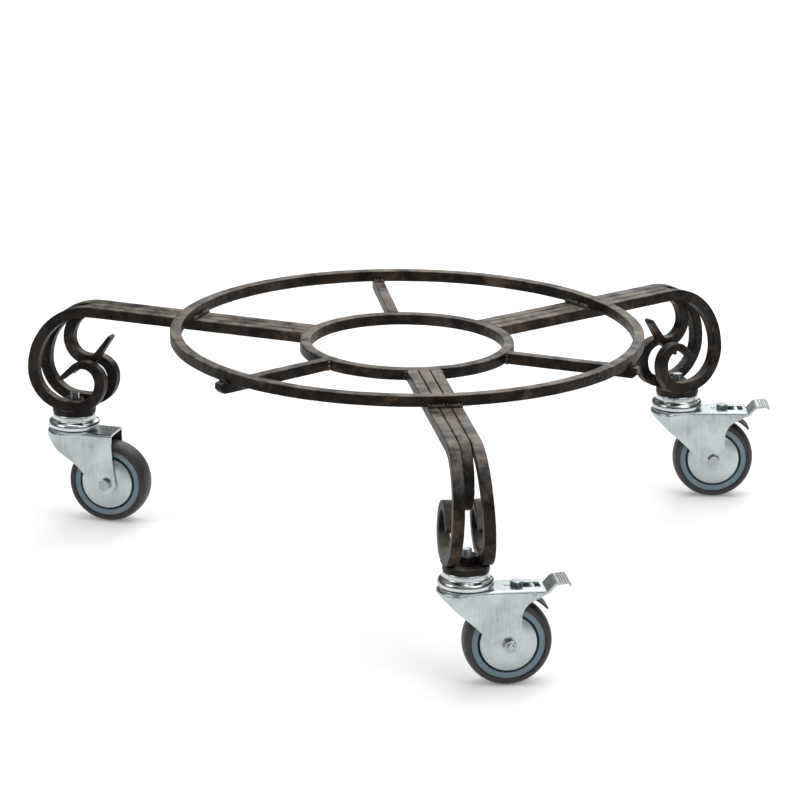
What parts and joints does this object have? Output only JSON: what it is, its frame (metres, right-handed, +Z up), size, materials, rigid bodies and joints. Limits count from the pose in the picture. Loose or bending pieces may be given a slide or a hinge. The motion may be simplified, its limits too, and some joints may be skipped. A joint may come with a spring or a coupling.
{
  "type": "plant pot caddy",
  "caption": "Round wrought-iron pot stand on scrolled legs with swivel castors, for rolling a heavy plant pot about and holding it with foot brakes.",
  "frame": {"origin": "middle of the footprint, on the floor under the castors", "axes": "+Z up, +X the way the castors trail, which is the footprint's longer side, -Y towards the front leg"},
  "size_m": [0.6878, 0.6065, 0.2146],
  "materials": {
    "wrought_iron": "dark bronze-brown wax finish, rubbed lighter on the top faces",
    "zinc_plate": "satin blue-white zinc plate",
    "zinc_fastener": "bright zinc plate",
    "bright_chrome": "bright plated pressing",
    "tyre_rubber": "matt brown-grey soft rubber",
    "rim_plastic": "matt blue-grey moulding",
    "bush_plastic": "plain bearing bush",
    "dark_spring_steel": "blackened spring steel",
    "bearing_steel": "polished balls"
  },
  "bodies": {
    "frame": {"outer_ring": "wrought_iron", "inner_ring": "wrought_iron", "right_spoke": "wrought_iron", "rear_spoke": "wrought_iron", "left_spoke": "wrought_iron", "front_leg_right_scroll": "wrought_iron", "front_leg_left_scroll": "wrought_iron", "front_leg_hook": "wrought_iron", "right_leg_right_scroll": "wrought_iron", "right_leg_left_scroll": "wrought_iron", "right_leg_hook": "wrought_iron", "left_leg_right_scroll": "wrought_iron", "left_leg_left_scroll": "wrought_iron", "left_leg_hook": "wrought_iron", "front_pad": "wrought_iron", "right_pad": "wrought_iron", "left_pad": "wrought_iron", "weld_nuts": "wrought_iron", "mounting_bolts": "zinc_fastener", "front_swivel_cap": "bright_chrome", "front_king_pin": "zinc_fastener", "right_swivel_cap": "bright_chrome", "right_king_pin": "zinc_fastener", "left_swivel_cap": "bright_chrome", "left_king_pin": "zinc_fastener"},
    "front_fork_body": {"front_fork": "zinc_plate", "front_swivel_balls": "bearing_steel", "front_axle_bolt": "zinc_fastener", "front_axle_nut": "zinc_fastener", "front_axle_tube": "zinc_plate", "front_brake_bolt": "zinc_fastener", "front_pedal_pin": "zinc_fastener"},
    "front_wheel_body": {"front_wheel_bush": "bush_plastic", "front_wheel_rim": "rim_plastic", "front_tyre": "tyre_rubber", "front_thread_guards": "zinc_plate"},
    "front_pedal_body": {"front_brake_pedal": "zinc_plate"},
    "front_shoe_body": {"front_brake_shoe": "dark_spring_steel"},
    "right_fork_body": {"right_fork": "zinc_plate", "right_swivel_balls": "bearing_steel", "right_axle_bolt": "zinc_fastener", "right_axle_nut": "zinc_fastener", "right_axle_tube": "zinc_plate", "right_brake_bolt": "zinc_fastener", "right_pedal_pin": "zinc_fastener"},
    "right_wheel_body": {"right_wheel_bush": "bush_plastic", "right_wheel_rim": "rim_plastic", "right_tyre": "tyre_rubber", "right_thread_guards": "zinc_plate"},
    "right_pedal_body": {"right_brake_pedal": "zinc_plate"},
    "right_shoe_body": {"right_brake_shoe": "dark_spring_steel"},
    "left_fork_body": {"left_fork": "zinc_plate", "left_swivel_balls": "bearing_steel", "left_axle_bolt": "zinc_fastener", "left_axle_nut": "zinc_fastener", "left_axle_tube": "zinc_plate"},
    "left_wheel_body": {"left_wheel_bush": "bush_plastic", "left_wheel_rim": "rim_plastic", "left_tyre": "tyre_rubber", "left_thread_guards": "zinc_plate"}
  },
  "joints": [
    {"name": "front_swivel", "type": "hinge", "parent": "frame", "child": "front_fork_body", "pos_m": [0.05397, -0.26237, 0.0845], "axis": [0, 0, 1], "continuous": true},
    {"name": "front_wheel_spin", "type": "hinge", "parent": "front_fork_body", "child": "front_wheel_body", "pos_m": [0.0886, -0.25725, 0.0375], "axis": [0.1461, -0.9893, 0], "continuous": true},
    {"name": "front_pedal_press", "type": "hinge", "parent": "front_fork_body", "child": "front_pedal_body", "pos_m": [0.10888, -0.25426, 0.081], "axis": [-0.1461, 0.9893, 0], "range_deg": [0, 20]},
    {"name": "front_shoe_press", "type": "hinge", "parent": "front_fork_body", "child": "front_shoe_body", "pos_m": [0.09305, -0.2566, 0.0808], "axis": [-0.1461, 0.9893, 0], "range_deg": [0, 8]},
    {"name": "right_swivel", "type": "hinge", "parent": "frame", "child": "right_fork_body", "pos_m": [0.25633, 0.26478, 0.0845], "axis": [0, 0, 1], "continuous": true},
    {"name": "right_wheel_spin", "type": "hinge", "parent": "right_fork_body", "child": "right_wheel_body", "pos_m": [0.29131, 0.26563, 0.0375], "axis": [0.0244, -0.9997, 0], "continuous": true},
    {"name": "right_pedal_press", "type": "hinge", "parent": "right_fork_body", "child": "right_pedal_body", "pos_m": [0.31181, 0.26613, 0.081], "axis": [-0.0244, 0.9997, 0], "range_deg": [0, 20]},
    {"name": "right_shoe_press", "type": "hinge", "parent": "right_fork_body", "child": "right_shoe_body", "pos_m": [0.29581, 0.26574, 0.0808], "axis": [-0.0244, 0.9997, 0], "range_deg": [0, 8]},
    {"name": "left_swivel", "type": "hinge", "parent": "frame", "child": "left_fork_body", "pos_m": [-0.30137, 0.17645, 0.0845], "axis": [0, 0, 1], "continuous": true},
    {"name": "left_wheel_spin", "type": "hinge", "parent": "left_fork_body", "child": "left_wheel_body", "pos_m": [-0.26763, 0.16715, 0.0375], "axis": [-0.2656, -0.9641, 0], "continuous": true}
  ],
  "couplings": [
    {"joint": "front_shoe_press", "follows": "front_pedal_press", "ratio": 0.4},
    {"joint": "right_shoe_press", "follows": "right_pedal_press", "ratio": 0.4}
  ]
}
